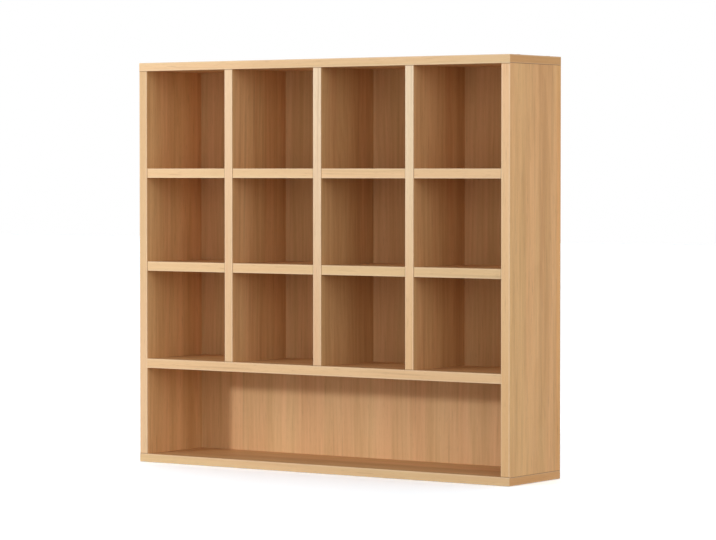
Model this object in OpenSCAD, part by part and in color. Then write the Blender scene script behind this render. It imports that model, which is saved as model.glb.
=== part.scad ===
// Mug display rack: three rows of four cubbies over one full-width compartment.
// +X runs along the width, +Y runs back to the wall, +Z runs up.
// The origin is the middle of the underside.

/* [Overall] */
// Overall width
rack_w = 800; // [640:1:1100]
// Overall depth, from the front edges to the wall
rack_d = 166; // [150:1:260]

/* [Compartments] */
// Clear height of the top row of cubbies
top_row_h = 178; // [150:1:260]
// Clear height of the middle row of cubbies
middle_row_h = 153; // [110:1:260]
// Clear height of the lower row of cubbies
lower_row_h = 161; // [110:1:260]
// Clear height of the open bottom compartment
base_bay_h = 158; // [110:1:300]

/* [Boards] */
// Thickness of the side panels, dividers and shelves
board_t = 17; // [16:0.5:22]
// Thickness of the top and bottom boards
end_board_t = 15; // [13:0.5:22]
// Thickness of the edge bands
band_t = 1; // [0.6:0.1:2]
// Radius of the trimmed arrises along the edge bands
band_r = 0.6; // [0.2:0.1:0.6]

/* [Halved joints] */
// Gap across a slot, over the thickness of the board in it
slot_gap = 0.2; // [0.1:0.05:0.5]
// Gap where the two slots of a halved joint meet
lap_gap = 0.5; // [0.2:0.1:1]
// How far the two halved shelves sit behind the divider fronts
shelf_setback = 1; // [0:0.5:5]

/* [Back panel] */
// Thickness of the back panel
back_t = 3; // [3:0.5:8]
// Width of the rebate that the back panel lies in
rebate_w = 9; // [8:0.5:11]
// Gap round the back panel in its rebate
back_gap = 0.5; // [0.2:0.1:1]
// Length of a back panel screw
back_screw_l = 16; // [12:1:20]
// Head diameter of a back panel screw
back_screw_head_d = 5.5; // [5:0.1:6]
// Shank diameter of a back panel screw
back_screw_d = 3; // [2.5:0.1:3.5]

/* [Carcase screws] */
// Length of a carcase screw
screw_l = 50; // [40:1:60]
// Head diameter of a carcase screw
screw_head_d = 10; // [9:0.5:12]
// Shank diameter, in the board that the screw goes through
screw_shank_d = 7; // [6:0.5:8]
// Core diameter, in the board that the screw bites
screw_core_d = 5; // [4:0.5:5.5]
// Distance of the screws from the front and from the wall
screw_inset = 35; // [25:1:55]
// Hexagon socket across its flats
socket_af = 4; // [3:0.5:5]
// Depth of the hexagon socket
socket_depth = 3; // [2:0.5:4]
// Diameter of a screw cap
cap_d = 13; // [12.5:0.5:16]
// Height that a screw cap stands proud
cap_t = 0.5; // [0.4:0.1:2]

/* [Shelf fittings] */
// Diameter of a cam lock
cam_d = 15; // [14:0.5:18]
// Height of a cam lock
cam_h = 12.5; // [12:0.25:13]
// Distance from the side panel to the middle of a cam lock
cam_reach = 34; // [24:1:40]
// Distance of each cam lock from the dowel between them
cam_spread = 45; // [30:1:55]
// Length of a cam bolt's thread, in the side panel
bolt_thread_l = 11; // [8:0.5:13]
// Diameter of a cam bolt's head
bolt_head_d = 7; // [6:0.25:7.5]
// Diameter of a cam bolt's neck
bolt_neck_d = 4; // [3:0.25:4.5]
// Diameter of a wooden dowel
dowel_d = 8; // [6:0.5:10]
// Length of a wooden dowel
dowel_l = 30; // [25:1:40]
// Depth of a wooden dowel in the side panel
dowel_depth = 10; // [8:0.5:12]

/* [Wall plates] */
// Width of a keyhole plate
plate_w = 16; // [14:0.5:18]
// Length of a keyhole plate
plate_l = 50; // [44:1:70]
// Thickness of a keyhole plate
plate_t = 1.5; // [1:0.1:2.5]
// Diameter of the hole that the wall screw's head goes in
keyhole_d = 10; // [8:0.5:11]
// Width of the slot above it
keyslot_w = 5; // [4:0.25:5.5]
// Rise from the hole to the top of the slot
keyslot_rise = 9; // [6:0.5:10]
// Drop from the top of the rack to the keyhole
plate_drop = 70; // [60:1:100]
// Depth of the pocket behind the plate for the wall screw's head
pocket_depth = 8; // [6:0.5:12]
// Length of a plate screw
plate_screw_l = 20; // [16:1:25]
// Head diameter of a plate screw
plate_screw_head_d = 6.5; // [6:0.25:7]
// Shank diameter of a plate screw
plate_screw_d = 3.5; // [3:0.1:4]

/* [Fits] */
// Gap across a screw, pin or cam in its hole
hole_fit = 0.2; // [0.1:0.05:0.3]
// Depth left past the end of a screw, pin or cam
hole_spare = 0.5; // [0.5:0.1:1.5]

/* [Hidden] */
$fn = 48;

// Colours
face_colour = [0.80, 0.62, 0.43];
inner_colour = [0.76, 0.57, 0.38];
back_colour = [0.72, 0.53, 0.34];
band_colour = [0.91, 0.76, 0.58];
dowel_colour = [0.86, 0.72, 0.52];
zinc_colour = [0.72, 0.73, 0.75];
steel_colour = [0.62, 0.63, 0.65];
cap_colour = [0.84, 0.68, 0.49];

// A cut runs this far past the face that it opens
cut = 1;

// Width
half_w = rack_w / 2;
inner_x = half_w - board_t;
bay_w = (rack_w - 5 * board_t) / 4;
upright_x = [for (i = [0:4]) -half_w + board_t / 2 + i * (bay_w + board_t)];
side_x = [upright_x[0], upright_x[4]];
divider_x = [for (i = [1:3]) upright_x[i]];
bay_x = [for (i = [0:3]) (upright_x[i] + upright_x[i + 1]) / 2];

// Depth
front_y = -rack_d / 2;
wall_y = rack_d / 2;
back_y = wall_y - back_t;
mid_y = (front_y + back_y) / 2;
screw_y = [front_y + screw_inset, wall_y - screw_inset];
setback_y = front_y + shelf_setback;

// Height, to the underside of each board
lower_z = end_board_t + base_bay_h;
middle_z = lower_z + board_t + lower_row_h;
upper_z = middle_z + board_t + middle_row_h;
top_z = upper_z + board_t + top_row_h;
rack_h = top_z + end_board_t;
deck_z = lower_z + board_t;
cubby_mid_z = [deck_z + lower_row_h / 2, middle_z + board_t + middle_row_h / 2,
               upper_z + board_t + top_row_h / 2];
bay_mid_z = concat([end_board_t + base_bay_h / 2], cubby_mid_z);

// Screws
screw_rim = 0.8;
screw_shank_l = min(end_board_t, board_t) - 1;
back_screw_core_d = 0.7 * back_screw_d;
back_screw_rim = 0.3;
plate_screw_core_d = 0.7 * plate_screw_d;
plate_screw_rim = 0.2;
plug_l = socket_depth - hole_spare;

// Cam fittings, measured from the side panel's inner face along the bolt
bolt_core_d = 5;
bolt_collar_d = 7.5;
bolt_collar_l = 2;
bolt_shank_d = 6;
bolt_bore_d = 8;
bolt_neck_start = cam_reach - cam_d / 2 - 1;
bolt_head_l = 4;
bolt_chamfer = 1;
cam_slot_h = bolt_neck_d + 1;
cam_mouth_d = bolt_head_d + 0.6;
cam_hollow_d = 0.7 * cam_d;
cam_floor = board_t / 2 - bolt_head_d / 2 - 0.7;
cam_throw = 0.8;
cross_l = 7;
cross_w = 1.2;
cross_depth = 2;
dowel_chamfer = 0.8;

// Wall plates, measured from the keyhole's middle
plate_x = [divider_x[0], divider_x[2]];
plate_z = rack_h - plate_drop;
plate_mid = keyslot_rise / 2;
plate_screw_rise = [plate_mid - (plate_l - plate_w) / 2, plate_mid + (plate_l - plate_w) / 2];
plate_gap = 0.2;
pocket_w = keyhole_d + 1;

module box_between(low, high) {
    translate(low) cube(high - low);
}

// Turns a shape that points up so that it points another way
module pointing(way) {
    turn = way == "down" ? [180, 0, 0]
        : way == "right" ? [0, 90, 0]
        : way == "left" ? [0, -90, 0]
        : way == "front" ? [90, 0, 0]
        : [0, 0, 0];
    rotate(turn) children();
}

// Places of what repeats

module at_top_screws() {
    for (x = upright_x, y = screw_y) translate([x, y, rack_h]) pointing("down") children();
}

module at_base_screws() {
    for (x = side_x, y = screw_y) translate([x, y, 0]) children();
}

module at_divider_screws() {
    for (x = divider_x, y = screw_y) translate([x, y, lower_z]) children();
}

// The child's origin is on the side panel's inner face at the shelf's half thickness, +X into the shelf
module at_shelf_ends(levels) {
    for (z = levels, side = [0, 1]) {
        mirror([side, 0, 0]) translate([-inner_x, mid_y, z + board_t / 2]) children();
    }
}

module at_cams() {
    for (side = [-1, 1]) translate([0, side * cam_spread, 0]) children();
}

module at_back_screws() {
    lip_x = inner_x + rebate_w / 2;
    lip_z = [end_board_t - rebate_w / 2, top_z + rebate_w / 2];
    for (x = [-lip_x, lip_x], z = bay_mid_z) translate([x, wall_y, z]) pointing("front") children();
    for (x = bay_x, z = lip_z) translate([x, wall_y, z]) pointing("front") children();
    for (x = divider_x, z = cubby_mid_z) translate([x, wall_y, z]) pointing("front") children();
    for (x = bay_x) translate([x, wall_y, lower_z + board_t / 2]) pointing("front") children();
}

module at_plates() {
    for (x = plate_x) translate([x, wall_y, plate_z]) children();
}

module at_plate_screws() {
    for (x = plate_x, rise = plate_screw_rise) {
        translate([x, wall_y, plate_z + rise]) pointing("front") children();
    }
}

// Screws, each pointing up from the face that its head is flush with

module countersunk(head_d, rim, shank_d, shank_l, core_d, length, tip_l) {
    seat_z = rim + (head_d - shank_d) / 2;
    rotate_extrude()
        polygon([
            [0, 0], [head_d / 2, 0], [head_d / 2, rim],
            [shank_d / 2, seat_z], [shank_d / 2, shank_l],
            [core_d / 2, shank_l], [core_d / 2, length - tip_l], [0, length]
        ]);
}

module countersunk_hole(head_d, rim, shank_d, depth) {
    seat_z = rim + (head_d - shank_d) / 2;
    rotate_extrude()
        polygon([
            [0, -cut], [(head_d + hole_fit) / 2, -cut], [(head_d + hole_fit) / 2, rim],
            [(shank_d + hole_fit) / 2, seat_z], [(shank_d + hole_fit) / 2, depth + cut],
            [0, depth + cut]
        ]);
}

module pilot_hole(core_d, start, length) {
    translate([0, 0, start - cut]) cylinder(d = core_d + hole_fit, h = length + hole_spare - start + cut);
}

module carcase_screw() {
    difference() {
        countersunk(screw_head_d, screw_rim, screw_shank_d, screw_shank_l, screw_core_d, screw_l,
                    screw_core_d / 2);
        translate([0, 0, -cut]) hexagon(socket_af, socket_depth + cut);
    }
}

module carcase_screw_hole(thickness) {
    countersunk_hole(screw_head_d, screw_rim, screw_shank_d, thickness);
}

module carcase_pilot(start) {
    pilot_hole(screw_core_d, start, screw_l);
}

module hexagon(across_flats, height) {
    cylinder(d = across_flats / cos(30), h = height, $fn = 6);
}

module screw_cap() {
    rotate_extrude()
        polygon(concat(
            [[0, 0], [0, -cap_t]],
            [for (a = [0:15:90]) [cap_d / 2 - cap_t + cap_t * sin(a), -cap_t * cos(a)]]
        ));
    hexagon(socket_af - hole_fit, plug_l);
}

module back_screw() {
    countersunk(back_screw_head_d, back_screw_rim, back_screw_d, back_t, back_screw_core_d,
                back_screw_l, back_screw_d);
}

module back_screw_hole() {
    countersunk_hole(back_screw_head_d, back_screw_rim, back_screw_d, back_t);
}

module back_pilot() {
    pilot_hole(back_screw_core_d, back_t, back_screw_l);
}

module plate_screw() {
    countersunk(plate_screw_head_d, plate_screw_rim, plate_screw_d, back_t, plate_screw_core_d,
                plate_screw_l, plate_screw_d);
}

// Runs through the keyhole plate and the back panel
module plate_screw_hole() {
    countersunk_hole(plate_screw_head_d, plate_screw_rim, plate_screw_d, back_t);
}

module plate_pilot() {
    pilot_hole(plate_screw_core_d, back_t, plate_screw_l);
}

// Edge bands

// Lies along +X, with its outer face at y = 0 and its glued face at y = band_t
module band(length, width) {
    r = min(band_r, band_t);
    arc = [for (a = [0:15:90]) [r - r * cos(a), r - r * sin(a)]];
    far_arc = [for (p = arc) [p[0], width - p[1]]];
    rotate([90, 0, 90]) linear_extrude(length)
        polygon(concat(
            [for (i = [len(far_arc) - 1:-1:0]) far_arc[i]],
            arc,
            [[band_t, 0], [band_t, width]]
        ));
}

module upright_band(x, low_z, high_z) {
    color(band_colour)
        translate([x + board_t / 2, front_y, low_z])
            rotate([0, -90, 0]) band(high_z - low_z, board_t);
}

module front_band(low_x, high_x, y, z, width) {
    color(band_colour) translate([low_x, y, z]) band(high_x - low_x, width);
}

// The band on the right end of the top or bottom board
module end_band(z) {
    color(band_colour)
        translate([half_w, front_y + band_t, z])
            rotate([0, 0, 90]) band(rack_d - band_t, end_board_t);
}

module halved_shelf_bands(z) {
    edges = concat([-inner_x], [for (x = divider_x, side = [-1, 1]) x + side * slot_w() / 2], [inner_x]);
    for (i = [0:3]) front_band(edges[2 * i], edges[2 * i + 1], setback_y, z, board_t);
}

// Boards

function slot_w() = board_t + slot_gap;

module turned_over() {
    translate([0, 0, rack_h]) mirror([0, 0, 1]) children();
}

// The top board, as it lies. The bottom board is the same board turned over, with fewer screws
module end_board() {
    difference() {
        box_between([-half_w + band_t, front_y + band_t, top_z], [half_w - band_t, wall_y, rack_h]);
        box_between([-inner_x - rebate_w, back_y, top_z - cut],
                    [inner_x + rebate_w, wall_y + cut, top_z + rebate_w]);
        at_back_screws() back_pilot();
        children();
    }
}

// The left side panel, as it stands
module side_panel() {
    difference() {
        box_between([-half_w, front_y + band_t, end_board_t], [-inner_x, wall_y, top_z]);
        box_between([-inner_x - rebate_w, back_y, end_board_t - cut],
                    [-inner_x + cut, wall_y + cut, top_z + cut]);
        at_top_screws() carcase_pilot(end_board_t);
        at_base_screws() carcase_pilot(end_board_t);
        at_shelf_ends([lower_z, middle_z, upper_z]) side_fitting_holes();
        at_back_screws() back_pilot();
    }
}

// A divider stands in front of the shelves at its slots, which open to the back
module divider(x) {
    difference() {
        box_between([x - board_t / 2, front_y + band_t, deck_z], [x + board_t / 2, back_y, top_z]);
        for (z = [middle_z, upper_z]) {
            box_between([x - board_t, mid_y - lap_gap / 2, z - slot_gap / 2],
                        [x + board_t, back_y + cut, z + board_t + slot_gap / 2]);
        }
        at_top_screws() carcase_pilot(end_board_t);
        at_divider_screws() carcase_pilot(board_t);
        at_back_screws() back_pilot();
        at_plates() keyhole_pocket();
        at_plate_screws() plate_pilot();
    }
}

// A halved shelf runs behind the dividers at its slots, which open to the front
module halved_shelf(z) {
    difference() {
        box_between([-inner_x, setback_y + band_t, z], [inner_x, back_y, z + board_t]);
        for (x = divider_x) {
            box_between([x - slot_w() / 2, front_y - cut, z - cut],
                        [x + slot_w() / 2, mid_y + lap_gap / 2, z + board_t + cut]);
        }
        at_shelf_ends([z]) shelf_fitting_holes();
    }
}

module top_board() {
    color(face_colour) end_board() at_top_screws() carcase_screw_hole(end_board_t);
}

module bottom_board() {
    color(face_colour) turned_over() end_board() turned_over() at_base_screws()
        carcase_screw_hole(end_board_t);
}

module left_side() {
    color(face_colour) side_panel();
}

module right_side() {
    color(face_colour) mirror([1, 0, 0]) side_panel();
}

module left_divider() {
    color(inner_colour) divider(divider_x[0]);
}

module middle_divider() {
    color(inner_colour) divider(divider_x[1]);
}

module right_divider() {
    color(inner_colour) divider(divider_x[2]);
}

module upper_shelf() {
    color(inner_colour) halved_shelf(upper_z);
}

module middle_shelf() {
    color(inner_colour) halved_shelf(middle_z);
}

module lower_shelf() {
    color(inner_colour) difference() {
        box_between([-inner_x, front_y + band_t, lower_z], [inner_x, back_y, deck_z]);
        at_divider_screws() carcase_screw_hole(board_t);
        at_shelf_ends([lower_z]) shelf_fitting_holes();
        at_back_screws() back_pilot();
    }
}

module back_panel() {
    reach_x = inner_x + rebate_w - back_gap;
    reach_z = rebate_w - back_gap;
    color(back_colour) difference() {
        box_between([-reach_x, back_y, end_board_t - reach_z], [reach_x, wall_y, top_z + reach_z]);
        at_back_screws() back_screw_hole();
        at_plates() plate_recess();
        at_plates() keyhole_pocket();
        at_plate_screws() plate_screw_hole();
    }
}

// Cam fittings and dowels, drawn from the side panel's inner face along +X

module cam_bolt() {
    head_start = cam_reach - bolt_head_l / 2;
    head_end = head_start + bolt_head_l;
    pointing("right") rotate_extrude()
        polygon([
            [0, -bolt_thread_l], [bolt_core_d / 2 - bolt_chamfer, -bolt_thread_l],
            [bolt_core_d / 2, bolt_chamfer - bolt_thread_l], [bolt_core_d / 2, 0],
            [bolt_collar_d / 2, 0], [bolt_collar_d / 2, bolt_collar_l],
            [bolt_shank_d / 2, bolt_collar_l], [bolt_shank_d / 2, bolt_neck_start],
            [bolt_neck_d / 2, bolt_neck_start], [bolt_neck_d / 2, head_start],
            [bolt_head_d / 2, head_start + bolt_chamfer], [bolt_head_d / 2, head_end - bolt_chamfer],
            [bolt_head_d / 2 - bolt_chamfer, head_end], [0, head_end]
        ]);
}

// A cam grips the bolt's head in its off-centre hollow, and its slotted wall closes behind the head
module cam_lock() {
    bolt_z = board_t / 2;
    translate([cam_reach, 0, -bolt_z]) difference() {
        cylinder(d = cam_d, h = cam_h);
        translate([cam_throw, 0, cam_floor]) cylinder(d = cam_hollow_d, h = cam_h);
        box_between([-cam_d, -cam_slot_h / 2, bolt_z - cam_slot_h / 2],
                    [0, cam_d, bolt_z + cam_slot_h / 2]);
        translate([0, 0, bolt_z]) pointing("right") cylinder(d = cam_mouth_d, h = cam_d);
        box_between([0, 0, bolt_z - cam_slot_h / 2], [cam_d, cam_d, bolt_z + cam_slot_h / 2]);
        for (turn = [0, 90]) rotate([0, 0, turn]) {
            box_between([-cross_l / 2, -cross_w / 2, -cut], [cross_l / 2, cross_w / 2, cross_depth]);
        }
    }
}

module dowel() {
    r = dowel_d / 2;
    translate([-dowel_depth, 0, 0]) pointing("right") rotate_extrude()
        polygon([
            [0, 0], [r - dowel_chamfer, 0], [r, dowel_chamfer], [r, dowel_l - dowel_chamfer],
            [r - dowel_chamfer, dowel_l], [0, dowel_l]
        ]);
}

module side_fitting_holes() {
    at_cams() translate([cut, 0, 0]) pointing("left")
        cylinder(d = bolt_core_d + hole_fit, h = bolt_thread_l + hole_spare + cut);
    translate([cut, 0, 0]) pointing("left")
        cylinder(d = dowel_d + hole_fit, h = dowel_depth + hole_spare + cut);
}

module shelf_fitting_holes() {
    at_cams() {
        translate([-cut, 0, 0]) pointing("right") cylinder(d = bolt_bore_d, h = cam_reach + cut);
        translate([cam_reach, 0, -board_t / 2 - cut])
            cylinder(d = cam_d + hole_fit, h = cam_h + hole_spare + cut);
    }
    translate([-cut, 0, 0]) pointing("right")
        cylinder(d = dowel_d + hole_fit, h = dowel_l - dowel_depth + hole_spare + cut);
}

// Keyhole plates, drawn from the keyhole's middle on the wall side

// A round-ended bar of the given width, between two heights
module bar_outline(width, low, high) {
    translate([-width / 2, low]) square([width, high - low]);
    for (v = [low, high]) translate([0, v]) circle(d = width);
}

// Stands an outline up facing the wall, cut from the given distance behind the wall face to another
module sunk(from, to) {
    translate([0, -from, 0]) rotate([90, 0, 0]) linear_extrude(to - from) children();
}

module plate_outline(gap) {
    bar_outline(plate_w + 2 * gap, plate_screw_rise[0], plate_screw_rise[1]);
}

module keyhole_plate() {
    difference() {
        sunk(0, plate_t) plate_outline(0);
        sunk(-cut, plate_t + cut) bar_outline(keyslot_w, 0, keyslot_rise);
        sunk(-cut, plate_t + cut) circle(d = keyhole_d);
        for (rise = plate_screw_rise) {
            translate([0, 0, rise]) pointing("front") plate_screw_hole();
        }
    }
}

module plate_recess() {
    sunk(-cut, plate_t) plate_outline(plate_gap);
}

module keyhole_pocket() {
    sunk(plate_t - hole_fit, plate_t + pocket_depth) bar_outline(pocket_w, 0, keyslot_rise);
}

// Edge band pieces

module top_front_band() {
    front_band(-half_w, half_w, front_y, top_z, end_board_t);
}

module top_left_band() {
    mirror([1, 0, 0]) end_band(top_z);
}

module top_right_band() {
    end_band(top_z);
}

module bottom_front_band() {
    front_band(-half_w, half_w, front_y, 0, end_board_t);
}

module bottom_left_band() {
    mirror([1, 0, 0]) end_band(0);
}

module bottom_right_band() {
    end_band(0);
}

module left_side_band() {
    upright_band(side_x[0], end_board_t, top_z);
}

module right_side_band() {
    upright_band(side_x[1], end_board_t, top_z);
}

module left_divider_band() {
    upright_band(divider_x[0], deck_z, top_z);
}

module middle_divider_band() {
    upright_band(divider_x[1], deck_z, top_z);
}

module right_divider_band() {
    upright_band(divider_x[2], deck_z, top_z);
}

module upper_shelf_bands() {
    halved_shelf_bands(upper_z);
}

module middle_shelf_bands() {
    halved_shelf_bands(middle_z);
}

module lower_shelf_band() {
    front_band(-inner_x, inner_x, front_y, lower_z, board_t);
}

// Fittings

module carcase_screws() {
    color(zinc_colour) {
        at_top_screws() carcase_screw();
        at_base_screws() carcase_screw();
        at_divider_screws() carcase_screw();
    }
}

module screw_caps() {
    color(cap_colour) {
        at_top_screws() screw_cap();
        at_divider_screws() screw_cap();
    }
}

module cam_bolts() {
    color(steel_colour) at_shelf_ends([lower_z, middle_z, upper_z]) at_cams() cam_bolt();
}

module cam_locks() {
    color(zinc_colour) at_shelf_ends([lower_z, middle_z, upper_z]) at_cams() cam_lock();
}

module dowels() {
    color(dowel_colour) at_shelf_ends([lower_z, middle_z, upper_z]) dowel();
}

module back_screws() {
    color(steel_colour) at_back_screws() back_screw();
}

module keyhole_plates() {
    color(steel_colour) at_plates() keyhole_plate();
}

module plate_screws() {
    color(zinc_colour) at_plate_screws() plate_screw();
}

top_board();
bottom_board();
left_side();
right_side();
left_divider();
middle_divider();
right_divider();
upper_shelf();
middle_shelf();
lower_shelf();
back_panel();
top_front_band();
top_left_band();
top_right_band();
bottom_front_band();
bottom_left_band();
bottom_right_band();
left_side_band();
right_side_band();
left_divider_band();
middle_divider_band();
right_divider_band();
upper_shelf_bands();
middle_shelf_bands();
lower_shelf_band();
carcase_screws();
screw_caps();
cam_bolts();
cam_locks();
dowels();
back_screws();
keyhole_plates();
plate_screws();
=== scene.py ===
import math

import bmesh
import bpy
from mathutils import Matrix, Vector


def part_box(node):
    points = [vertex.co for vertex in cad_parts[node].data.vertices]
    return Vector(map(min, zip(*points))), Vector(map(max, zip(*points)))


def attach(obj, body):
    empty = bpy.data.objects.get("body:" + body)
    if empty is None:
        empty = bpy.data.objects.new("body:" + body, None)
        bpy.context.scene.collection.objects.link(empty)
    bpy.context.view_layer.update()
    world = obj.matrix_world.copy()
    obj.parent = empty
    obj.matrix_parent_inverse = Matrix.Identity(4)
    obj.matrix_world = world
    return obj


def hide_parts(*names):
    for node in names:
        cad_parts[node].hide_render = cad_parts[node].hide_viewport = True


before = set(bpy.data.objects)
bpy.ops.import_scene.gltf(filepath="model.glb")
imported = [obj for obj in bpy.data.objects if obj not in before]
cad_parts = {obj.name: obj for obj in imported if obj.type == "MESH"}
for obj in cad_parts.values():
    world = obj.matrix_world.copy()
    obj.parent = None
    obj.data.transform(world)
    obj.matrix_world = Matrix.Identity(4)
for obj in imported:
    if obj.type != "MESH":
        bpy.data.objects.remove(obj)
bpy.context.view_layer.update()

# The photograph's camera, fitted to the rack's straight edges. Its place is in metres, its angles are in
# degrees, and its lens and sensor are in millimetres
CAMERA_PLACE = (3.203988, -4.553384, 0.536602)
CAMERA_AZIMUTH = 34.876
CAMERA_TILT = 1.846
CAMERA_LENS = 157.05
SENSOR_WIDTH = 36

# The lamps: name, place, target, size and power. The key stands where the shadows in the bottom
# compartment point
LAMPS = (("key", (-2.05, -4.08, 1.3), (0, 0, 0.35), 0.4, 68),
         ("softbox", (-1.6, -1.5, 0.9), (-0.1, 0, 0.4), 0.7, 6.5))

# The room's even light, and its brighter sides, each with its direction and strength. A higher power makes
# the brighter sides narrower
AMBIENT = 0.08
ROOM_LOBES = (((1, 0, 0.1), 1.8), ((0.7, -0.7, 0.1), 1.3), ((-0.4, 0.8, 0.5), 1.4))
LOBE_POWER = 4

# The floor lies just under the rack. The first colour is for the light that it throws back on the rack.
# The second is what camera, glossy and transmission rays see, bright enough to render white
FLOOR_SIZE = 30
FLOOR_DROP = 0.0003
FLOOR_COLOUR = 0.5
FLOOR_SEEN = (1.8, 1.92, 2.02)

WHITE = (1, 1, 1, 1)

# Colours, as sRGB values. Where there are two, the pattern goes from the first to the second
BOARD = ((224, 181, 133), (199, 151, 104))
# The right side's facing: the boards' colour made warmer, as painted warm light on that side
WARM_LIT_FACE = ((234, 186, 133), (206, 157, 106))
BACK = ((238, 196, 149), (210, 165, 117))
BAND = ((249, 213, 168), (236, 196, 150))
# The end strips, darker and more orange than the front ones; their orange is painted warm light, as on the
# right side's facing
WARM_LIT_END_BAND = ((219, 170, 115), (196, 144, 93))
BEECH = ((228, 192, 146), (208, 166, 118))
CHIPS = ((214, 184, 140), (150, 114, 76))
FIBREBOARD = ((164, 122, 80), (138, 99, 62))
PORE = (146, 102, 62)
WARM = (255, 250, 242)
OLIVE = (251, 252, 242)
ARRIS_HIGHLIGHT_TINT = (255, 236, 205)
SEAM_SHADE_COLOUR = (128, 76, 28)
STRIPE_TINT = (255, 247, 234)
ZINC = (184, 186, 190)
STEEL = (164, 166, 170)
METAL_DULL = (120, 122, 128)
CAP = (203, 157, 106)

UPRIGHTS = ("left_side", "right_side", "left_divider", "middle_divider", "right_divider")
LEVELS = ("top_board", "bottom_board", "upper_shelf", "middle_shelf", "lower_shelf")
FRONT_BANDS = ("top_front_band", "bottom_front_band", "upper_shelf_bands", "middle_shelf_bands",
               "lower_shelf_band")
END_BANDS = ("top_left_band", "top_right_band", "bottom_left_band", "bottom_right_band")

# The seed of the first piece of each kind. A piece's seed picks its own stretch of the grain
SEEDS = {"uprights": 1, "levels": 11, "upright_bands": 21, "front_bands": 31, "end_bands": 36, "back": 41,
         "dowels": 51}
SEED_STEPS = (3.7, 1.9, 11.3)

# The upright strips' grain, and the tone of each strip at its head and at its foot: the strip's own colour,
# with painted light and shade in how it changes from head to foot
UPRIGHT_GRAIN = ((255, 255, 255), (250, 240, 232))
UPRIGHT_SHADED_TONES = {"left_side": ((231, 197, 152), (247, 212, 173)),
                 "right_side": ((253, 212, 168), (245, 200, 150)),
                 "left_divider": ((250, 217, 182), (244, 206, 165)),
                 "middle_divider": ((255, 231, 204), (242, 205, 166)),
                 "right_divider": ((255, 238, 210), (248, 206, 160))}

# How light each upright's facing is against the other boards: painted light and shade, the same facing made
# lighter or darker upright by upright
UPRIGHT_PAINTED_SHADES = {"left_side": 1.05, "right_side": 1.0, "left_divider": 1.0, "middle_divider": 0.965,
          "right_divider": 0.98}

# Where the growth rings' heart lies, across the grain from the frame's origin, in metres
HEARTS = {"left_side": 0.03, "right_side": -0.01, "left_divider": 0.16, "middle_divider": -0.15,
          "right_divider": 0.19, "top_board": -0.08, "bottom_board": -0.04, "upper_shelf": 0.0,
          "middle_shelf": 0.04, "lower_shelf": 0.08, "back_panel": 0.5, "dowels": 0.3}
BAND_HEART = 0.4

# How strong the grain is on the strips and on the back, against the boards
BAND_CONTRAST = 0.7
BACK_CONTRAST = 0.8

# Layers of streaks in the wood: how many lie in a metre along and across the grain, their detail and
# their weight
STREAKS = ((0.8, 13, 1, 0.8), (1.5, 34, 2, 0.7), (3, 75, 2, 0.65), (8, 230, 2, 0.45), (20, 800, 2, 0.25))
RING_WEIGHT = 0.1

# How far either side of its middle level the layers' sum reaches the first and the second colour
TONE_SPREAD = 0.42

# How many features each layer has in a metre through a board
THROUGH = 60

# The bends in the grain: how many lie in a metre along and across it, their detail, and their size in
# metres
BEND = (1.5, 8, 2)
BEND_SIZE = 0.02

# The growth rings: how many lie in a metre, how deep their heart lies under the face at the frame's origin,
# how fast it sinks along the grain, how they wander, how uneven they are, and the shares of a ring over
# which its dark line rises and falls
RING_DENSITY = 95
RING_DEPTH = 0.035
RING_SLOPE = 0.03
RING_WANDER = (2.2, 9, 2)
WANDER_ACROSS = 0.05
WANDER_DEEP = 0.03
RING_UNEVEN = (4, 45, 2)
RING_SHIFT = 1.5
RING_RISE = (0.1, 0.8)
RING_FALL = (0.85, 1.0)

# Marks in the wood: how many lie in a metre along and across the grain, and the levels of noise at which
# they start and are full. The drift turns the wood from warm to olive, and lines show only in patches
DRIFT = (1.7, 24, 0.36, 0.64)
PATCHES = (1, 9, 0.40, 0.64)
LINES = (2.5, 130, 0.60, 0.74)
FLECKS = (20, 330, 0.66, 0.76)
PORES = (60, 1500, 0.62, 0.74)
LINE_SHARE = 0.3
FLECK_SHARE = 0.22
PORE_SHARE = 0.28

# How high the finest streaks stand, as a share of a pore's depth
FIBRE_HEIGHT = 0.4

# Most noise lies between these levels
NOISE_RANGE = (0.3, 0.7)

# A strip's trimmed arrises, paler with a painted highlight, and its glued seams, a dark glue line with
# painted shade in the joint: how wide they are in metres, and how strong
ARRIS = 0.003
ARRIS_HIGHLIGHT_SHARE = 0.3
SEAM = 0.0018
SEAM_SHADE_SHARE = 0.85

# The facing is more orange in a stripe along the rear edge of the right side. The stripe starts at the
# first distance from the edge, in metres, and is full from the second
STRIPE = (0.0155, 0.0125)

# Sawn chipboard: chips in a metre along each axis, and its dust's specks, levels and strength
CHIP_DENSITY = (330, 600, 600)
DUST_DENSITY = 2500
DUST_LEVELS = (0.5, 0.75)
DUST_SHARE = 0.5

# The back panel's bare rear: fibres in a metre along each axis, their detail and how strong the finest of
# it is, clouds in a metre, the weights of both, their sum's levels, and the share of the panel's thickness
# at which the rear starts
FIBRE_DENSITY = (420, 1, 260)
FIBRE_DETAIL = 4
FIBRE_FINENESS = 0.7
FIBRE_WEIGHT = 0.7
CLOUD_DENSITY = 9
CLOUD_WEIGHT = 0.3
FIBREBOARD_LEVELS = (0.32, 0.68)
REAR_START = 0.1

# Metal and plastic: how many mottles and speckles lie in a metre, their detail, and how much they change
MOTTLE_DENSITY = 700
SPECKLE_DENSITY = 900
SPECKLE_DETAIL = 3
SPECKLE_SHADE = 0.92
DULL_SHARE = 0.3
METAL_SPREAD = (-0.06, 0.1)

# Gloss and roughness. Wood goes from the first roughness to the second
SPECULAR = 0.3
WOOD_ROUGHNESS = (0.44, 0.58)
CHIP_ROUGHNESS = 0.9
FIBREBOARD_ROUGHNESS = 0.78
ZINC_ROUGHNESS = 0.38
STEEL_ROUGHNESS = 0.32
CAP_ROUGHNESS = 0.45

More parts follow.
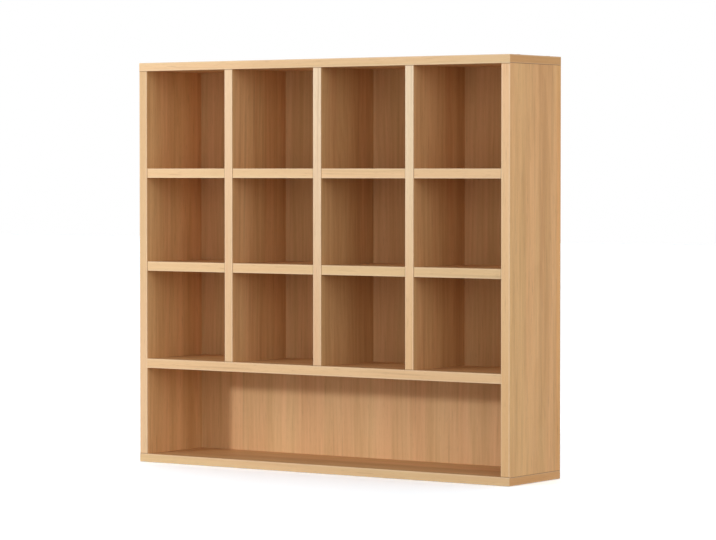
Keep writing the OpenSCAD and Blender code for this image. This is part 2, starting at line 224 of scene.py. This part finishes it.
# Depths of bump, in metres
WOOD_BUMP = 0.00006
BAND_BUMP = 0.00004
FINE_BUMP = 0.00002

# A surface faces along an axis where its normal's share of it is over this
FACING = 0.7

# A cross recess, as shares of the screw head's radius, its floor as a share of its mouth, and the screw's
# radii as shares of the next larger
RECESS_REACH = 0.62
RECESS_WIDTH = 0.17
RECESS_DEPTH = 0.55
RECESS_FLOOR = 0.45
SHANK_SHARE = 0.54
CORE_SHARE = 0.7
HEAD_SIDES = 32

# Vertices closer than this, in metres, are one
WELD = 1e-7


def linear(colour):
    """An sRGB colour as the linear RGBA that a shader takes."""
    values = [c / 255 for c in colour]
    return [c / 12.92 if c <= 0.04045 else ((c + 0.055) / 1.055) ** 2.4 for c in values] + [1]


def middle(name, axis):
    """The middle of a CAD node along the axis."""
    low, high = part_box(name)
    return ((low + high) / 2)["xyz".index(axis)]


def thickness(name, axis):
    """The size of a CAD node along the axis."""
    low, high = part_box(name)
    return (high - low)["xyz".index(axis)]


class Tree:
    """The node tree of a material or a world, built from short calls that return a node's output.

    A value may be a number or another node's output.
    """

    def __init__(self, owner):
        owner.use_nodes = True
        self.nodes = owner.node_tree.nodes
        self.links = owner.node_tree.links

    def put(self, socket, value):
        """Gives a socket a value or a link."""
        if isinstance(value, bpy.types.NodeSocket):
            self.links.new(value, socket)
        else:
            socket.default_value = value

    def add(self, kind, inputs, output=0, **settings):
        """A new node of the kind, with its settings and inputs, as one of its outputs."""
        made = self.nodes.new(kind)
        for key, value in settings.items():
            setattr(made, key, value)
        for key, value in inputs.items():
            self.put(made.inputs[key], value)
        return made.outputs[output]

    def math(self, operation, a, b=0.0):
        return self.add("ShaderNodeMath", {0: a, 1: b}, operation=operation)

    def mix(self, share, a, b, blend="MIX"):
        """Colour a, with a share of colour b."""
        inputs = {0: share, 6: a, 7: b}
        return self.add("ShaderNodeMix", inputs, output=2, data_type="RGBA", blend_type=blend)


class Shader(Tree):
    """A new material's node tree, round its Principled shader."""

    def __init__(self, name):
        self.material = bpy.data.materials.new(name)
        super().__init__(self.material)
        self.surface = self.nodes["Principled BSDF"]
        self.surface.inputs["Specular IOR Level"].default_value = SPECULAR
        self.coordinates = self.nodes.new("ShaderNodeTexCoord")
        self.place = self.coordinates.outputs["Object"]
        self.at = self.split(self.place)

    def split(self, point):
        """A point's coordinates, by axis."""
        parts = self.nodes.new("ShaderNodeSeparateXYZ")
        self.links.new(point, parts.inputs[0])
        return dict(zip("xyz", parts.outputs))

    def total(self, *parts):
        """The sum of values, each given with its factor."""
        result = 0.0
        for value, factor in parts:
            result = self.math("ADD", result, self.math("MULTIPLY", value, factor))
        return result

    def remap(self, value, low, high, new_low=0.0, new_high=1.0):
        """The value taken smoothly from one range to another, and held at its ends."""
        inputs = {"Value": value, "From Min": low, "From Max": high, "To Min": new_low, "To Max": new_high}
        return self.add("ShaderNodeMapRange", inputs, interpolation_type="SMOOTHSTEP")

    def tinted(self, colour, tint):
        """The colour multiplied by the tint."""
        return self.mix(1.0, colour, tint, blend="MULTIPLY")

    def blend(self, share, a, b):
        """Number a, with a share of number b."""
        return self.add("ShaderNodeMix", {0: share, 2: a, 3: b})

    def scaled(self, point, factors):
        return self.add("ShaderNodeVectorMath", {0: point, 1: factors}, operation="MULTIPLY")

    def shifted(self, point, offset):
        return self.add("ShaderNodeVectorMath", {0: point, 1: offset}, operation="ADD")

    def noise(self, point, scale, detail=2.0, roughness=0.5):
        inputs = {"Vector": point, "Scale": scale, "Detail": detail, "Roughness": roughness}
        return self.add("ShaderNodeTexNoise", inputs)

    def streak(self, point, along, across, detail=1.0):
        """Noise drawn out along X, with so many features in a metre along and across."""
        return self.noise(self.scaled(point, (along, across, 1)), 1, detail)

    def marks(self, point, kind, strength=1.0):
        """Streaks of one of the kinds of marks, 0 where they start and the strength where they are full."""
        along, across, start, full = kind
        return self.remap(self.streak(point, along, across), start, full, 0.0, strength)

    def turned(self, order):
        """The place with its axes in the given order."""
        return self.add("ShaderNodeCombineXYZ", {i: self.at[axis] for i, axis in enumerate(order)})

    def facing(self, axis):
        """1 where the surface faces along the axis, either way, and 0 elsewhere."""
        normal = self.split(self.coordinates.outputs["Normal"])
        return self.math("GREATER_THAN", self.math("ABSOLUTE", normal[axis]), FACING)

    def away(self, name, axis):
        """How far the place is from the node's middle along the axis, either way."""
        return self.math("ABSOLUTE", self.math("SUBTRACT", self.at[axis], middle(name, axis)))

    def near_edges(self, name, axis, width):
        """1 at the node's two ends along the axis, falling to 0 over the width."""
        half = thickness(name, axis) / 2
        return self.remap(self.away(name, axis), half - width, half)

    def bump(self, height, depth):
        normal = self.add("ShaderNodeBump", {"Height": height, "Distance": depth})
        self.put(self.surface.inputs["Normal"], normal)

    def set(self, **values):
        """Gives the Principled shader's inputs, named in lower case, their values."""
        for key, value in values.items():
            self.put(self.surface.inputs[key.replace("_", " ").title()], value)


def rings(s, point, heart):
    """Growth rings cut by the face: straight lines far from the heart, and a cathedral figure along it."""
    at = s.split(point)
    wander = s.streak(point, *RING_WANDER)
    across = s.total((at["y"], 1), (wander, WANDER_ACROSS), (1.0, -heart - WANDER_ACROSS / 2))
    deep = s.total((at["x"], RING_SLOPE), (wander, WANDER_DEEP), (1.0, RING_DEPTH))
    squares = [(s.math("MULTIPLY", side, side), 1) for side in (across, deep)]
    reach = s.math("SQRT", s.total(*squares))
    uneven = s.streak(point, *RING_UNEVEN)
    ring = s.math("FRACT", s.total((reach, RING_DENSITY), (uneven, RING_SHIFT)))
    return s.math("MULTIPLY", s.remap(ring, *RING_RISE), s.remap(ring, *RING_FALL, 1, 0))


def figured(s, order, seed, heart, tones, contrast=1.0):
    """Wood's colour, height and roughness, its grain along the first axis of the order."""
    turned = s.turned(order)
    start = [seed * step for step in SEED_STEPS]
    point = s.shifted(s.scaled(turned, (1, 1, THROUGH)), start)
    bend = s.math("MULTIPLY", s.streak(point, *BEND), BEND_SIZE)
    point = s.shifted(point, s.add("ShaderNodeCombineXYZ", {1: bend}))
    layers = [(s.streak(point, along, across, detail), weight) for along, across, detail, weight in STREAKS]
    tone = s.total(*layers, (rings(s, turned, heart), RING_WEIGHT))
    level = (sum(weight for _, weight in layers) + RING_WEIGHT) / 2
    spread = TONE_SPREAD / contrast
    share = s.remap(tone, level - spread, level + spread)
    colour = s.mix(share, linear(tones[0]), linear(tones[1]))
    colour = s.tinted(colour, s.mix(s.marks(point, DRIFT), linear(WARM), linear(OLIVE)))
    lines = s.math("MULTIPLY", s.marks(point, LINES, LINE_SHARE * contrast), s.marks(point, PATCHES))
    flecks = s.marks(point, FLECKS)
    pores = s.marks(point, PORES)
    dark = s.total((lines, 1), (flecks, FLECK_SHARE * contrast), (pores, PORE_SHARE * contrast))
    colour = s.mix(dark, colour, linear(PORE))
    fibres = layers[-1][0]
    height = s.total((fibres, FIBRE_HEIGHT), (pores, -1))
    return colour, height, s.remap(fibres, *NOISE_RANGE, *WOOD_ROUGHNESS)


def board(name, order, seed, tones, faced):
    """Wood-grain facing on the faces across the given axis, and sawn chipboard on the others."""
    s = Shader(name + "_facing")
    colour, height, rough = figured(s, order, seed, HEARTS[name], tones)
    if name == "right_side":
        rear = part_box(name)[1].y
        stripe = s.remap(s.at["y"], rear - STRIPE[0], rear - STRIPE[1])
        colour = s.tinted(colour, s.mix(stripe, WHITE, linear(STRIPE_TINT)))
    on_face = s.facing(faced)
    chips, chip_height = chipboard(s)
    s.set(base_color=s.mix(on_face, chips, colour), roughness=s.blend(on_face, CHIP_ROUGHNESS, rough))
    s.bump(s.blend(on_face, chip_height, height), WOOD_BUMP)
    return s.material


def chipboard(s):
    """Colour and height of sawn chipboard."""
    cells = s.nodes.new("ShaderNodeTexVoronoi")
    s.put(cells.inputs["Vector"], s.scaled(s.place, CHIP_DENSITY))
    s.put(cells.inputs["Scale"], 1)
    pick = s.add("ShaderNodeSeparateColor", {0: cells.outputs["Color"]})
    dust = s.remap(s.noise(s.place, DUST_DENSITY), *DUST_LEVELS, 0, DUST_SHARE)
    colour = s.mix(dust, s.mix(pick, linear(CHIPS[0]), linear(CHIPS[1])), linear(PORE))
    return colour, s.total((pick, 1), (cells.outputs["Distance"], 1))


def band(name, order, seed, tones, seams=None, ends=None):
    """A wood-print edge strip, paler with a painted highlight where its long arrises are trimmed, and dark
    along its glued seams with painted shade in the joint.

    An upright strip's ends are its tones at the head and at the foot, which multiply its grain; the change
    between them is painted light and shade.
    """
    s = Shader(name + "_print")
    colour, height, rough = figured(s, order, seed, BAND_HEART, tones, BAND_CONTRAST)
    # Painted light and shade: the strip's tone goes from its foot to its head
    if ends:
        low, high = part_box(name)
        up = s.remap(s.at["z"], low.z, high.z)
        colour = s.tinted(colour, s.mix(up, linear(ends[1]), linear(ends[0])))
    # Painted highlight along the long arrises, with the paler trimmed edge
    arrises = s.near_edges(name, order[1], ARRIS)
    colour = s.mix(s.math("MULTIPLY", arrises, ARRIS_HIGHLIGHT_SHARE), colour, linear(ARRIS_HIGHLIGHT_TINT))
    # Painted shade in the joint, with a dark glue line, along the strip's seams
    if seams:
        colour = s.mix(s.math("MULTIPLY", seams(s), SEAM_SHADE_SHARE), colour, linear(SEAM_SHADE_COLOUR))
    s.set(base_color=colour, roughness=rough)
    s.bump(height, BAND_BUMP)
    return s.material


def end_seam_shade(name, axis):
    """Seams at the two ends of a strip, with painted shade in the joint."""
    return lambda s: s.near_edges(name, axis, SEAM)


def upright_seam_shade(s):
    """Painted shade and a dark glue line wherever a shelf's strip meets an upright. The uprights stand at
    even steps from the middle.
    """
    step = middle("right_divider", "x") - middle("middle_divider", "x")
    half = thickness("middle_divider", "x") / 2
    away = s.math("PINGPONG", s.at["x"], step / 2)
    return s.remap(away, half, half + SEAM, 1, 0)


def panel_seam_shade(s):
    """Painted shade and a dark glue line along the top and the foot of the side panels, on the strips
    beyond them.
    """
    half = thickness("left_side", "z") / 2
    return s.remap(s.away("left_side", "z"), half, half + SEAM, 1, 0)


def fibreboard(s):
    """Colour and height of the back panel's bare rear face."""
    fibres = s.noise(s.scaled(s.place, FIBRE_DENSITY), 1, FIBRE_DETAIL, FIBRE_FINENESS)
    clouds = s.noise(s.place, CLOUD_DENSITY)
    share = s.remap(s.total((fibres, FIBRE_WEIGHT), (clouds, CLOUD_WEIGHT)), *FIBREBOARD_LEVELS)
    return s.mix(share, linear(FIBREBOARD[0]), linear(FIBREBOARD[1])), fibres


def back_material():
    """Wood-grain facing in front, with fibreboard behind it."""
    s = Shader("back_facing")
    colour, height, rough = figured(s, "zxy", SEEDS["back"], HEARTS["back_panel"], BACK, BACK_CONTRAST)
    bare, bare_height = fibreboard(s)
    low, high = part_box("back_panel")
    behind = s.math("GREATER_THAN", s.at["y"], low.y + REAR_START * (high.y - low.y))
    s.set(base_color=s.mix(behind, colour, bare), roughness=s.blend(behind, rough, FIBREBOARD_ROUGHNESS))
    s.bump(s.blend(behind, height, bare_height), WOOD_BUMP)
    return s.material


def beech():
    """Bare beech, its grain along X."""
    s = Shader("dowel_beech")
    colour, height, rough = figured(s, "xyz", SEEDS["dowels"], HEARTS["dowels"], BEECH)
    s.set(base_color=colour, roughness=rough)
    s.bump(height, WOOD_BUMP)
    return s.material


def metal(name, colour, roughness):
    """Plated metal, duller and rougher in its mottles."""
    s = Shader(name)
    mottle = s.noise(s.place, MOTTLE_DENSITY, SPECKLE_DETAIL)
    dull = s.remap(mottle, *NOISE_RANGE, 0, DULL_SHARE)
    smooth, rough = (roughness + change for change in METAL_SPREAD)
    s.set(base_color=s.mix(dull, linear(colour), linear(METAL_DULL)), metallic=1.0,
          roughness=s.remap(mottle, *NOISE_RANGE, smooth, rough))
    s.bump(mottle, FINE_BUMP)
    return s.material


def plastic(name, colour, roughness):
    """Plastic with a fine speckle."""
    s = Shader(name)
    speckle = s.noise(s.place, SPECKLE_DENSITY, SPECKLE_DETAIL)
    darker = [c * SPECKLE_SHADE for c in colour]
    s.set(base_color=s.mix(speckle, linear(colour), linear(darker)), roughness=roughness)
    s.bump(speckle, FINE_BUMP)
    return s.material


def dress(name, material):
    """Gives a CAD node its material."""
    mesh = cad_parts[name].data
    mesh.materials.clear()
    mesh.materials.append(material)


def dress_boards():
    for seed, name in enumerate(UPRIGHTS, SEEDS["uprights"]):
        # The right side takes the warmer copy, with painted warm light
        tones = WARM_LIT_FACE if name == "right_side" else BOARD
        # Each upright's facing, lighter or darker by its painted light and shade
        shaded = [[c * UPRIGHT_PAINTED_SHADES[name] for c in tone] for tone in tones]
        dress(name, board(name, "zyx", seed, shaded, "x"))
    for seed, name in enumerate(LEVELS, SEEDS["levels"]):
        dress(name, board(name, "xyz", seed, BOARD, "z"))
    dress("back_panel", back_material())


def dress_bands():
    for seed, upright in enumerate(UPRIGHTS, SEEDS["upright_bands"]):
        name = upright + "_band"
        seams = end_seam_shade(name, "z")
        dress(name, band(name, "zxy", seed, UPRIGHT_GRAIN, seams, UPRIGHT_SHADED_TONES[upright]))
    for seed, name in enumerate(FRONT_BANDS, SEEDS["front_bands"]):
        seams = upright_seam_shade if "shelf_bands" in name else None
        dress(name, band(name, "xzy", seed, BAND, seams))
    for seed, name in enumerate(END_BANDS, SEEDS["end_bands"]):
        dress(name, band(name, "yzx", seed, WARM_LIT_END_BAND, panel_seam_shade))


def dress_fittings(zinc, steel):
    dress("cam_locks", zinc)
    dress("carcase_screws", zinc)
    dress("cam_bolts", steel)
    dress("keyhole_plates", steel)
    dress("screw_caps", plastic("cap_plastic", CAP, CAP_ROUGHNESS))
    dress("dowels", beech())


def solids(name):
    """The separate solids of a node, each as the lowest and highest corner of its box."""
    shape = bmesh.new()
    shape.from_mesh(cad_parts[name].data)
    bmesh.ops.remove_doubles(shape, verts=shape.verts, dist=WELD)
    left = set(shape.verts)
    boxes = []
    while left:
        found = [left.pop()]
        for vert in found:
            for edge in vert.link_edges:
                other = edge.other_vert(vert)
                if other in left:
                    left.remove(other)
                    found.append(other)
        boxes.append([Vector(pick(v.co[i] for v in found) for i in range(3)) for pick in (min, max)])
    shape.free()
    return boxes


def loop(shape, points):
    """A closed loop of edges through the points, as its vertices and its edges."""
    verts = [shape.verts.new(p) for p in points]
    edges = [shape.edges.new((a, b)) for a, b in zip(verts, verts[1:] + verts[:1])]
    return verts, edges


def bridge(shape, first, second):
    """Faces between two loops of as many vertices."""
    for i in range(len(first)):
        j = (i + 1) % len(first)
        shape.faces.new((first[i], first[j], second[j], second[i]))


def cross(reach, width):
    """A cross outline in the plane, once round its middle."""
    arm = ((width, width), (reach, width), (reach, -width))
    outline = []
    for turn in range(4):
        angle = turn * math.pi / 2
        c, s = round(math.cos(angle)), round(math.sin(angle))
        outline += [(x * c + y * s, y * c - x * s) for x, y in arm]
    return outline


def add_cross_screw(shape, place, head_r, shank_l, whole_l):
    """A countersunk screw with a cross recess, its head at the place and its tip along -Y."""
    shank_r = head_r * SHANK_SHARE
    core_r = shank_r * CORE_SHARE
    angles = [2 * math.pi * i / HEAD_SIDES for i in range(HEAD_SIDES)]

    def circle(radius, depth):
        points = [(radius * math.cos(a), -depth, radius * math.sin(a)) for a in angles]
        return loop(shape, [place + Vector(p) for p in points])

    def crossed(share, depth):
        outline = cross(RECESS_REACH * head_r * share, RECESS_WIDTH * head_r * share)
        return loop(shape, [place + Vector((x, -depth, z)) for x, z in outline])

    rim, rim_edges = circle(head_r, 0)
    mouth, mouth_edges = crossed(1, 0)
    bmesh.ops.triangle_fill(shape, edges=rim_edges + mouth_edges, use_beauty=True, normal=(0, 1, 0))
    floor, _ = crossed(RECESS_FLOOR, RECESS_DEPTH * head_r)
    bridge(shape, mouth, floor)
    shape.faces.new(floor)
    profile = ((shank_r, head_r - shank_r), (shank_r, shank_l), (core_r, shank_l + shank_r - core_r),
               (core_r, whole_l - 2 * shank_r))
    last = rim
    for radius, depth in profile:
        ring, _ = circle(radius, depth)
        bridge(shape, last, ring)
        last = ring
    tip = shape.verts.new(place + Vector((0, -whole_l, 0)))
    for i in range(HEAD_SIDES):
        shape.faces.new((last[i], last[(i + 1) % HEAD_SIDES], tip))


def make_cross_screws(node, material):
    """Screws with cross recesses in place of a node's plain ones, with their sizes from the node."""
    shape = bmesh.new()
    shank_l = thickness("back_panel", "y")
    for low, high in solids(node):
        place = Vector(((low.x + high.x) / 2, high.y, (low.z + high.z) / 2))
        add_cross_screw(shape, place, (high.x - low.x) / 2, shank_l, high.y - low.y)
    bmesh.ops.recalc_face_normals(shape, faces=shape.faces)
    mesh = bpy.data.meshes.new(node + "_crossed")
    shape.to_mesh(mesh)
    shape.free()
    mesh.materials.append(material)
    piece = bpy.data.objects.new(node + "_crossed", mesh)
    bpy.context.collection.objects.link(piece)
    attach(piece, "root")
    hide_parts(node)


def make_camera():
    data = bpy.data.cameras.new("camera")
    data.lens = CAMERA_LENS
    data.sensor_width = SENSOR_WIDTH
    camera = bpy.data.objects.new("camera", data)
    camera.location = CAMERA_PLACE
    camera.rotation_euler = (math.radians(90 - CAMERA_TILT), 0, math.radians(CAMERA_AZIMUTH))
    bpy.context.collection.objects.link(camera)
    bpy.context.scene.camera = camera


def make_lamps():
    for name, place, target, size, power in LAMPS:
        data = bpy.data.lights.new(name, "AREA")
        data.shape = "DISK"
        data.size = size
        data.energy = power
        lamp = bpy.data.objects.new(name, data)
        lamp.location = place
        lamp.rotation_euler = (Vector(target) - Vector(place)).to_track_quat("-Z", "Y").to_euler()
        bpy.context.collection.objects.link(lamp)


def seen_directly(tree):
    """1 for camera, glossy and transmission rays, and 0 for the others."""
    path = tree.nodes.new("ShaderNodeLightPath")
    total = path.outputs["Is Camera Ray"]
    for name in ("Is Glossy Ray", "Is Transmission Ray"):
        total = tree.math("MAXIMUM", total, path.outputs[name])
    return total


def room_light(tree):
    """The room's strength in each direction: even, with soft brighter lobes."""
    where = tree.nodes.new("ShaderNodeTexCoord").outputs["Generated"]
    total = AMBIENT
    for axis, strength in ROOM_LOBES:
        directions = {0: where, 1: Vector(axis).normalized()}
        dot = tree.add("ShaderNodeVectorMath", directions, output="Value", operation="DOT_PRODUCT")
        lobe = tree.math("POWER", tree.math("MAXIMUM", dot, 0), LOBE_POWER)
        total = tree.math("ADD", total, tree.math("MULTIPLY", lobe, strength))
    return total


def make_world():
    """The room's light on the rack, with plain white where it is seen directly."""
    world = bpy.data.worlds.new("studio")
    tree = Tree(world)
    room = tree.nodes["Background"]
    room.inputs["Color"].default_value = WHITE
    tree.put(room.inputs["Strength"], room_light(tree))
    seen = tree.add("ShaderNodeBackground", {"Color": WHITE})
    shown = tree.add("ShaderNodeMixShader", {0: seen_directly(tree), 1: room.outputs[0], 2: seen})
    tree.put(tree.nodes["World Output"].inputs["Surface"], shown)
    bpy.context.scene.world = world


def make_floor():
    bpy.ops.mesh.primitive_plane_add(size=FLOOR_SIZE, location=(0, 0, -FLOOR_DROP))
    floor = bpy.context.object
    floor.name = "floor"
    material = bpy.data.materials.new("floor_paint")
    tree = Tree(material)
    tree.nodes.clear()
    tint = tree.mix(seen_directly(tree), [FLOOR_COLOUR] * 3 + [1], FLOOR_SEEN + (1,))
    paint = tree.add("ShaderNodeBsdfDiffuse", {"Color": tint})
    out = tree.nodes.new("ShaderNodeOutputMaterial")
    tree.put(out.inputs["Surface"], paint)
    floor.data.materials.append(material)


make_camera()
dress_boards()
dress_bands()
zinc = metal("zinc_cast", ZINC, ZINC_ROUGHNESS)
steel = metal("steel_plated", STEEL, STEEL_ROUGHNESS)
dress_fittings(zinc, steel)
make_cross_screws("back_screws", steel)
make_cross_screws("plate_screws", zinc)
make_lamps()
make_world()
make_floor()
bpy.context.scene.view_settings.view_transform = "Standard"
